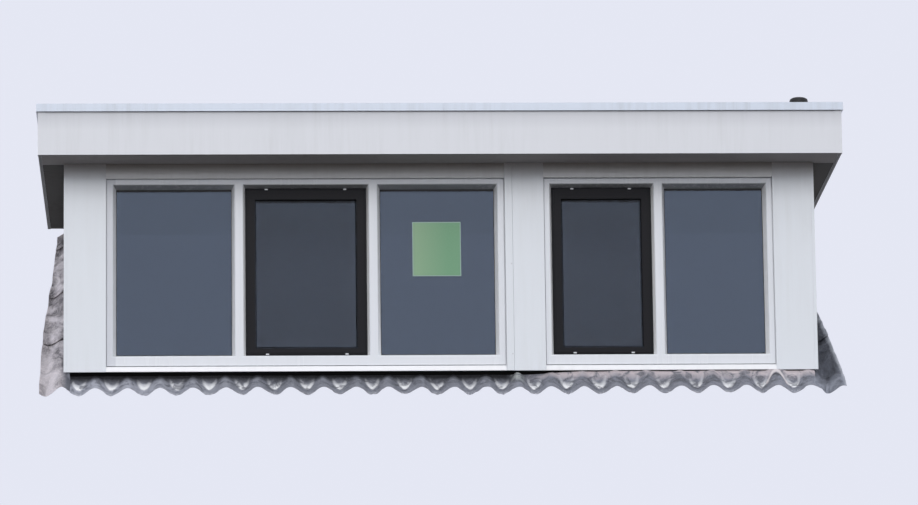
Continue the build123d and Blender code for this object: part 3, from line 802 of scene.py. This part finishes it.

# Painted shade: a much darker copy of the lead on the left. A painted highlight runs along the outer rim, and
# the lead is paler towards the front.
shaded_right_side_lead, tree, shader = surface("lead on the right in painted shade")
skin = placed(tree, lead_skin, {"Vector": coordinates(tree, scale=(1, 0.4, 0.4)), "Scale": 11.0})
apart = add(tree, "SeparateXYZ", {"Vector": coordinates(tree)})
foot = ranged(tree, apart.outputs["Y"], -0.16, -0.06, 0.7, 0.0)
rim = maths(tree, "ADD", product(tree, apart.outputs["Y"], 0.08), apart.outputs["X"])
rim = ranged(tree, rim, 2.522, 2.54, 0.0, 0.8)
tone = mixed(tree, skin.outputs["Folds"], (0.026, 0.028, 0.037, 1), (0.086, 0.094, 0.117, 1))
tone = mixed(tree, product(tree, skin.outputs["Streaks"], 0.15), tone, (0.4, 0.43, 0.5, 1))
spots = ranged(tree, skin.outputs["Folds"], 0, 0.6, 0.5, 1)
tone = mixed(tree, product(tree, foot, spots), tone, (0.37, 0.39, 0.45, 1))
tone = mixed(tree, product(tree, rim, spots), tone, (0.5, 0.52, 0.56, 1))
finish_lead(tree, shader, skin, tone, 0.6)


def sheet_of_lead(name, columns, rows, point, replaced, material):
    """A closed sheet from a grid of points, given its real thickness."""
    mesh = bmesh.new()
    grid = []
    for row in range(rows):
        line = [point(column / (columns - 1), row / (rows - 1)) for column in range(columns)]
        grid.append([mesh.verts.new(spot) for spot in line])
    for low, high in zip(grid, grid[1:]):
        for index in range(columns - 1):
            mesh.faces.new((low[index], low[index + 1], high[index + 1], high[index]))
    made = piece(name, mesh, material, smooth=True)
    thick = made.modifiers.new("thickness", "SOLIDIFY")
    thick.thickness = sheet_thickness
    thick.offset = 0
    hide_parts(replaced)


matt = {"Specular IOR Level": 0.04}
foam_dark, foam_light = (0.001, 0.001, 0.001), (0.005, 0.005, 0.005)
black_foam_and_shade = speckled(
    "black foam strip", 900.0, foam_dark, foam_light, 0.95, relief=(0.5, 0.0008), **matt
)
# The foot seal's near black also stands for the shade in the gap under the panels: painted shade.
dress(["foot_seal"], black_foam_and_shade)

upstand_share = 0.16
right_rise = 0.0155
under_panels = 0.0603
raised_folds = ((hump_middle, 0.05, 0.02), (arch_middle, 0.075, 0.022))


def apron_point(x, share, lift):
    """A point of the dressed apron: share runs from the hidden top edge to the hem."""
    raised = smooth_step(x, 0.5, 0.9)
    wobble = 0.004 * noise.noise(Vector((x * 3.1, 4.2, 0)))
    if share < upstand_share:
        up = 1 - share / upstand_share
        level = apron_crest + wobble + right_rise * raised
        return Vector((x, apron_wall + box_margin, level + up * (apron_high.z - 0.001 - level)))
    out = (share - upstand_share) / (1 - upstand_share) * (apron_depth - 0.004)
    level = apron_crest + wobble - out * roof_slope - valley_drop(x, out)
    level += raised * (right_rise + roof_slope * min(out, 0.014)) * (1 - smooth_step(out, 0.02, 0.05))
    for middle, half, tall in raised_folds:
        hump = max(1 - ((x - middle) / half) ** 2, 0) ** 1.5
        level += tall * hump * smooth_step(out, 0.0, 0.02) * (1 - smooth_step(out, 0.06, 0.135))
    wrinkle = creases(x, out, 0.05, 3.0) - 0.4
    level += wrinkle_height * wrinkle * (0.4 + valley_share(x)) * smooth_step(out, 0.015, 0.05)
    level = min(level, under_panels - 0.3 * max(out - 0.022, 0))
    level = max(level + lift * smooth_step(out, 0, 0.02), apron_low.z + box_margin)
    return Vector((x, apron_wall - out - 0.002, level))


apron_laps = [apron_low.x + 0.001, -1.334, -0.107, 1.13, apron_high.x - 0.001]
lap_width = 0.08
lap_lift = 0.0026
for index in range(len(apron_laps) - 1):
    start = apron_laps[index] - (lap_width if index else 0.0)
    end = apron_laps[index + 1]
    lift = lap_lift * (index % 2)
    sheet_of_lead(
        f"apron_sheet_{index + 1}",
        int((end - start) / 0.005),
        52,
        lambda c, r, start=start, end=end, lift=lift: apron_point(start + c * (end - start), r, lift),
        "lead_apron",
        apron_lead,
    )


def narrowed_left(y):
    """How much the left flashing narrows up the roof, at a place y behind the front."""
    return 0.06 * smooth_step(y, 0.2, 2.0)


def narrowed_right(y):
    """The same for the right flashing, which narrows evenly from before the front."""
    return min(max(y + 0.1, 0.0) * 0.075, 0.1)


upstand = 0.11
side_starts = (0.40, 1.03, 1.66)
side_ends = (0.50, 1.13, 1.76)


def side_lead(name, side, narrowed, material):
    """The lapped lengths of one side flashing, from the front corner up the roof."""
    low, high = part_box(name)
    outer = low.x if side < 0 else high.x
    wall = high.x - box_margin if side < 0 else low.x + box_margin

    def side_point(c, y, start):
        """c runs from the outer edge to the top of the upstand, or in over the apron."""
        width = abs(wall - outer) - 0.002 - narrowed(y)
        out = width - c * (width + upstand)
        beyond = max(-out, 0)
        behind = smooth_step(y, apron_wall - 0.02, apron_wall)
        x = wall + side * (max(out, 0) - (1 - behind) * beyond * 0.2)
        full = wave_height * valley_share(x)
        before = valley_drop(x, max(apron_wall - y, 0))
        before += (full - before) * smooth_step(out, 0.0, 0.07)
        drop = full * smooth_step(out, 0.0, 0.05) * behind + before * (1 - behind)
        fold = 0.011 * (creases(x, y, 0.13, 9.0 + side) - 0.4) + 0.002 * creases(x, y, 0.05, 5.0 + side)
        fold *= smooth_step(out, 0.0, 0.03) + 0.25 * (1 - behind)
        ragged = 0.006 * noise.noise(Vector((y * 6, 2.0, side))) * smooth_step(out, 0.6 * width, width)
        bend = 0.014 * (1 - smooth_step(abs(out), 0.0, 0.025)) * behind
        over = 0.0095 * (1 - smooth_step(y, start, start + 0.25)) if start > 0 else 0.0
        level = apron_crest + (y - apron_wall) * roof_slope + beyond * behind - drop + fold + bend + over
        level += 0.005 * (1 - behind)
        x = math.copysign(min(abs(x) + ragged, abs(outer) - box_margin), x)
        return Vector((x, y, min(max(level, low.z + box_margin), high.z - 0.002)))

    starts = (low.y + 0.001, *side_starts)
    ends = (*side_ends, high.y - 0.001)
    for index, (start, end) in enumerate(zip(starts, ends)):
        sheet_of_lead(
            f"{name}_sheet_{index + 1}",
            54,
            int((end - start) / 0.006),
            lambda c, r, start=start, end=end: side_point(c, start + r * (end - start), start),
            name,
            material,
        )


side_lead("left_lead", -1, narrowed_left, left_side_lead)
side_lead("right_lead", 1, narrowed_right, shaded_right_side_lead)

# Roof vent: a black plastic pipe with a flange and a mushroom cap, clamped by a steel
# ring. Short ribs hold the cap off the pipe, so that air gets out under its skirt.

vent_black, vent_faded = (0.004, 0.004, 0.004), (0.012, 0.012, 0.012)
vent_plastic = speckled(
    "black vent plastic", 30.0, vent_black, vent_faded, (0.4, 0.65), detail=4.0, relief=(0.2, 0.001)
)
steel_dark, steel_light = (0.42, 0.43, 0.45), (0.62, 0.63, 0.65)
clamp_steel = speckled(
    "brushed steel", 1.0, steel_dark, steel_light, (0.24, 0.4), 3.0, (40, 40, 900), Metallic=1.0
)


def revolved(mesh, profile, middle, steps=64):
    """A closed solid of revolution about an upright axis, from (radius, level) pairs."""
    rings = []
    for radius, level in profile:
        ring = []
        for index in range(steps):
            angle = 2 * math.pi * index / steps
            x, y = middle.x + radius * math.cos(angle), middle.y + radius * math.sin(angle)
            ring.append(mesh.verts.new((x, y, level)))
        rings.append(ring)
    for low_ring, high_ring in zip(rings, rings[1:] + rings[:1]):
        for index in range(steps):
            mesh.faces.new((low_ring[index - 1], low_ring[index], high_ring[index], high_ring[index - 1]))


pipe_outside = 0.05
pipe_inside = 0.044
rib_count = 12
rib_half = Vector((0.0035, 0.0035, 0.018))
low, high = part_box("roof_vent")
middle = Vector(((low.x + high.x) / 2 - 0.003, (low.y + high.y) / 2, 0))
foot = low.z + 0.0005
top = high.z - 0.0005
mesh = bmesh.new()
flange = [(0.107, foot), (0.107, low.z + 0.004), (0.062, low.z + 0.006), (0.051, low.z + 0.016)]
pipe = [(pipe_outside, top - 0.05), (pipe_inside, top - 0.05), (pipe_inside, foot)]
revolved(mesh, flange + pipe, middle)
skirt = [(0.057, top - 0.066), (0.0595, top - 0.062), (0.0595, top - 0.02), (0.056, top - 0.009)]
crown = [(0.045, top - 0.002), (0.02, top), (0.0005, top), (0.0005, top - 0.006)]
underside = [(0.045, top - 0.009), (0.0555, top - 0.024)]
revolved(mesh, skirt + crown + underside, middle)
for index in range(rib_count):
    angle = math.radians(360 / rib_count * index)
    spoke = Vector((math.cos(angle), math.sin(angle), 0)) * 0.053
    spot = middle + spoke + Vector((0, 0, top - 0.04))
    block(mesh, spot - rib_half, spot + rib_half)
vent = piece("roof_vent_turned", mesh, vent_plastic)
bevelled = vent.modifiers.new("eased edges", "BEVEL")
bevelled.width = 0.0006
bevelled.limit_method = "ANGLE"
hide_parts("roof_vent")
mesh = bmesh.new()
band_low, band_high = low.z + 0.03, low.z + 0.042
band = [(0.0505, band_low), (0.0525, band_low), (0.0525, band_high), (0.0505, band_high)]
revolved(mesh, band, middle)
screw = middle + Vector((0, -0.056, low.z + 0.036))
screw_half = Vector((0.012, 0.0045, 0.0045))
block(mesh, screw - screw_half, screw + screw_half, 0.001)
piece("vent_clamp_ring", mesh, clamp_steel)

# Small fittings of the front: turn clips that hold the screens, the cord round the
# gauze, the rubber gaskets round the fixed panes with a black strip of painted shadow
# under each head, and two screws in the cover strip.

clip_silver = speckled(
    "die cast clip", 500.0, (0.5, 0.51, 0.53), (0.7, 0.71, 0.73), (0.3, 0.45), detail=3.0, Metallic=0.3
)


def pin(mesh, place, radii, length, steps, tilt=90):
    """A round pin with a radius at each end. It lies along Y, or upright without tilt."""
    first, last = radii
    sizes = {"radius1": first, "radius2": last, "depth": length}
    made = bmesh.ops.create_cone(mesh, cap_ends=True, segments=steps, **sizes)
    turn = Matrix.Translation(place) @ Matrix.Rotation(math.radians(tilt), 4, "X")
    bmesh.ops.transform(mesh, matrix=turn, verts=made["verts"])


clip_places = [(-1.106, 1.258), (-0.605, 1.258), (-1.103, 0.187), (-0.599, 0.187)]
clip_places += [(0.848, 1.257), (1.216, 1.257), (0.851, 0.189), (1.221, 0.189)]
clip_half_width = 0.01
clip_half_height = 0.0045
clip_thickness = 0.004
screen_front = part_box("left_screen_frame")[0].y
mesh = bmesh.new()
for x, z in clip_places:
    clip_low = Vector((x - clip_half_width, screen_front - clip_thickness, z - clip_half_height))
    clip_high = Vector((x + clip_half_width, screen_front, z + clip_half_height))
    block(mesh, clip_low, clip_high, 0.0012)
    pin(mesh, (x, screen_front - 0.005, z), (0.0032, 0.0026), 0.0022, 20)
piece("screen_turn_clips", mesh, clip_silver)

strip_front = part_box("cover_strip")[0].y
slot_half_length = 0.0026
slot_half_width = 0.0004
mesh = bmesh.new()
for x, z in ((0.451, 0.170), (0.451, 0.754)):
    pin(mesh, (x, strip_front - 0.0006, z), (0.0042, 0.0034), 0.0016, 24)
    slot_low = Vector((x - slot_half_length, strip_front - 0.0018, z - slot_half_width))
    block(mesh, slot_low, Vector((x + slot_half_length, strip_front - 0.0012, z + slot_half_width)))
piece("cover_strip_screws", mesh, clip_silver)

gasket_black = speckled("black gasket rubber", 600.0, (0.012, 0.012, 0.013), (0.03, 0.03, 0.032), (0.5, 0.7))

lights = {"first_glass": (-2.062, -1.327), "third_glass": (-0.382, 0.348), "fifth_glass": (1.439, 2.069)}
light_foot, light_head = 0.184, 1.26
gasket_width = 0.0035
for name, (left_edge, right_edge) in lights.items():
    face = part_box(name)[0].y
    mesh = bmesh.new()
    front = Vector((left_edge, face - 0.002, light_foot))
    ring_of_bars(mesh, front, Vector((right_edge, face - 0.0001, light_head)), gasket_width)
    # Painted shadow: a black strip under the head of each fixed pane, where the head rail shades the glass.
    head_shadow_low = Vector((left_edge + 0.003, face - 0.0018, light_head - 0.012))
    block(mesh, head_shadow_low, Vector((right_edge - 0.003, face - 0.0002, light_head - 0.003)))
    piece(name + "_gasket", mesh, gasket_black)

cord_inset = 0.003
cord_width = 0.004
for name in ("left_screen_mesh", "right_screen_mesh"):
    low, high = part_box(name)
    mesh = bmesh.new()
    front = Vector((low.x + cord_inset, screen_front - 0.0008, low.z + cord_inset))
    back = Vector((high.x - cord_inset, screen_front + 0.002, high.z - cord_inset))
    ring_of_bars(mesh, front, back, cord_width)
    cord = piece(name + "_cord", mesh, black_foam_and_shade)

# Card on the third pane: a plain green sheet with a pale rim, held to the glass. It
# is paler towards its left side. The real one's drawing and writing are left out.

card_green = speckled("green card", 120.0, (0.13, 0.32, 0.16), (0.18, 0.38, 0.22), (0.35, 0.5), detail=4.0)
tree = card_green.node_tree
paler_left_side = ranged(tree, ordinate(tree, "X"), -0.15, 0.05, 0.6, 0.0)
tinted(card_green, paler_left_side, (0.3, 0.44, 0.27), "MIX")
card_pale = speckled(
    "pale card backing", 120.0, (0.27, 0.4, 0.35), (0.33, 0.46, 0.41), (0.4, 0.55), detail=4.0
)
pane_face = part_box("third_glass")[0].y
card_thickness = 0.0006
card_parts = (
    ("card_backing", card_pale, (-0.176, 0.694), (0.134, 1.048), 0.0003),
    ("card_sheet", card_green, (-0.170, 0.700), (0.128, 1.042), 0.0009),
)
for name, material, (x_low, z_low), (x_high, z_high), stand in card_parts:
    mesh = bmesh.new()
    front = pane_face - stand - card_thickness
    block(mesh, Vector((x_low, front, z_low)), Vector((x_high, pane_face - stand, z_high)), 0.0002)
    piece(name, mesh, material)

# Sash fittings inside: a lever handle on each sash and two hinges on its far side. The
# handle has a backplate, a neck and a lever that hangs down when the sash is shut.

handle_inset = 0.032
hinge_from_end = 0.12
handle_parts = (
    (0.014, 0.0, 0.01, -0.06, 0.06, 0.003),
    (0.008, 0.01, 0.045, -0.008, 0.008, 0.003),
    (0.01, 0.033, 0.045, -0.115, 0.012, 0.004),
)
mesh = bmesh.new()
for name, lock_side in (("left_sash", 1), ("right_sash", -1)):
    low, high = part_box(name)
    x = high.x - handle_inset if lock_side > 0 else low.x + handle_inset
    handle = Vector((x, high.y, (low.z + high.z) / 2))
    for half, near, far, foot, head, easing in handle_parts:
        block(mesh, handle + Vector((-half, near, foot)), handle + Vector((half, far, head)), easing)
    hinge_x = low.x if lock_side > 0 else high.x
    for hinge_z in (low.z + hinge_from_end, high.z - hinge_from_end):
        pin(mesh, (hinge_x - lock_side * 0.001, high.y + 0.008, hinge_z), (0.008, 0.008), 0.09, 24, tilt=0)
fittings = piece("sash_handles_and_hinges", mesh, profile_white)

# Trim joint sleeve and roof sheet laps: the piece behind the open joint of the front
# trim, and the double thickness where two widths of roofing sheet are glued.

low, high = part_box("edge_trim_front")
mesh = bmesh.new()
sleeve_low = Vector((-0.025, low.y + 0.0035, low.z + 0.006))
block(mesh, sleeve_low, Vector((0.055, low.y + 0.0047, high.z - 0.006)), 0.0003)
sleeve = piece("trim_joint_sleeve", mesh, trim_white)

vent_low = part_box("roof_vent")[0]
sheet_low, sheet_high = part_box("roof_membrane")
sheet_lap = 0.05
lap_from_edge = 0.12
mesh = bmesh.new()
for x in (-1.45, -0.35, 0.75, 1.85):
    lap_low = Vector((x, sheet_low.y + lap_from_edge, vent_low.z - 0.0005))
    lap_high = Vector((x + sheet_lap, sheet_high.y - lap_from_edge, vent_low.z + 0.0014))
    block(mesh, lap_low, lap_high, 0.0004)
laps = piece("roof_sheet_laps", mesh, rubber_sheet)

# The stage: a pale floor under the lowest edge, seen from above only, and a soft sky.
# The floor casts little light up, because the dormer stands over a dark tiled roof.

floor_level = cad_low.z - 0.001
floor_reach = 60.0
mesh = bmesh.new()
corners = ((-1, -1), (1, -1), (1, 1), (-1, 1))
mesh.faces.new([mesh.verts.new((x * floor_reach, y * floor_reach, floor_level)) for x, y in corners])
floor_data = bpy.data.meshes.new("floor")
mesh.to_mesh(floor_data)
mesh.free()
floor = bpy.data.objects.new("floor", floor_data)
bpy.context.scene.collection.objects.link(floor)
floor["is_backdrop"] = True


def seen_directly(tree):
    """1 for rays from the camera, and for those that gloss and glass pass on."""
    path = add(tree, "LightPath", {})
    seen = maths(tree, "MAXIMUM", path.outputs["Is Camera Ray"], path.outputs["Is Glossy Ray"])
    return maths(tree, "MAXIMUM", seen, path.outputs["Is Transmission Ray"])


floor_paint, tree, shader = surface("pale floor")
tone = mixed(tree, seen_directly(tree), (0.028, 0.026, 0.024, 1), (0.6, 0.6, 0.62, 1))
plug(tree, shader, {"Base Color": tone, "Roughness": 0.9})
below = add(tree, "NewGeometry", {}).outputs["Backfacing"]
clear = add(tree, "BsdfTransparent", {})
one_way = add(tree, "MixShader", {0: below, 1: shader.outputs[0], 2: clear.outputs[0]})
tree.links.new(one_way.outputs[0], tree.nodes["Material Output"].inputs["Surface"])
floor_data.materials.append(floor_paint)

world = bpy.data.worlds.new("soft sky")
bpy.context.scene.world = world
world.use_nodes = True
tree = world.node_tree
sky = tree.nodes["Background"]
direction = add(tree, "TexCoord", {}).outputs["Generated"]
height = add(tree, "SeparateXYZ", {"Vector": direction}).outputs["Z"]
light = mixed(tree, ranged(tree, height, 0.0, 0.12, 0, 1), (0.02, 0.02, 0.02, 1), (1.53, 1.56, 1.64, 1))
light = mixed(tree, ranged(tree, height, 0.3, 0.95, 0, 1), light, (1.0, 1.03, 1.1, 1))
plug(tree, sky, {"Color": mixed(tree, seen_directly(tree), light, (0.78, 0.8, 0.9, 1)), "Strength": 1.0})

lamp_place = Vector((-1.5, -14, 9))
lamp_aim = Vector((0, 0, 0.8))
lamp_data = bpy.data.lights.new("front light", "AREA")
lamp_data.shape = "RECTANGLE"
lamp_data.size, lamp_data.size_y = 10, 7
lamp_data.energy = 680
lamp_data.color = (1.0, 0.98, 0.96)
lamp = bpy.data.objects.new("front light", lamp_data)
lamp.location = lamp_place
lamp.rotation_mode = "QUATERNION"
lamp.rotation_quaternion = (lamp_aim - lamp_place).to_track_quat("-Z", "Y")
bpy.context.scene.collection.objects.link(lamp)

# The camera stands in the street, well below the dormer, with a long lens. Its place
# and angles were fitted to the edges of the front, and it leans a little to one side.

camera_place = Vector((-1.506, -34.919, -6.533))
yaw, pitch, roll = math.radians(2.667), math.radians(11.917), math.radians(-0.741)
ahead = Vector((math.sin(yaw) * math.cos(pitch), math.cos(yaw) * math.cos(pitch), math.sin(pitch)))
across = Vector((math.cos(yaw), -math.sin(yaw), 0))
upward = across.cross(ahead)
right = across * math.cos(roll) + upward * math.sin(roll)
top = upward * math.cos(roll) - across * math.sin(roll)
camera_data = bpy.data.cameras.new("street view")
camera_data.sensor_width = 36.0
camera_data.lens = 219.75
camera_data.clip_end = 200.0
camera = bpy.data.objects.new("street view", camera_data)
camera.matrix_world = Matrix.Translation(camera_place) @ Matrix((right, top, -ahead)).transposed().to_4x4()
bpy.context.scene.collection.objects.link(camera)
bpy.context.scene.camera = camera
bpy.context.scene.view_settings.view_transform = "Standard"

low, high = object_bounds()
